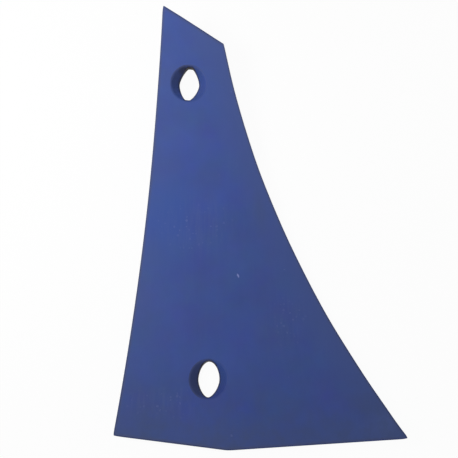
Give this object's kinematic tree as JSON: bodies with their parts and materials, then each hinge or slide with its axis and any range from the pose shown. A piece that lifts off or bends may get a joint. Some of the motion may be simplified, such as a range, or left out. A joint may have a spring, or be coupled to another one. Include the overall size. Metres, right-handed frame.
{
  "type": "mouldboard breast",
  "caption": "Curved steel plate for the front of a plough's mouldboard, with a swept cutting edge, an oblique top and countersunk holes for plough bolts.",
  "frame": {"origin": "on the ground, below the middle of the plate's bounding box; the convex back rests on the ground", "axes": "+Z out of the concave working face, +Y up the plate to its peak, +X to the swept cutting edge"},
  "size_m": [0.184, 0.2944, 0.0387],
  "materials": {
    "blue_paint": "satin blue paint, a little dusty"
  },
  "bodies": {
    "root": {"breast_plate": "blue_paint"}
  },
  "joints": []
}
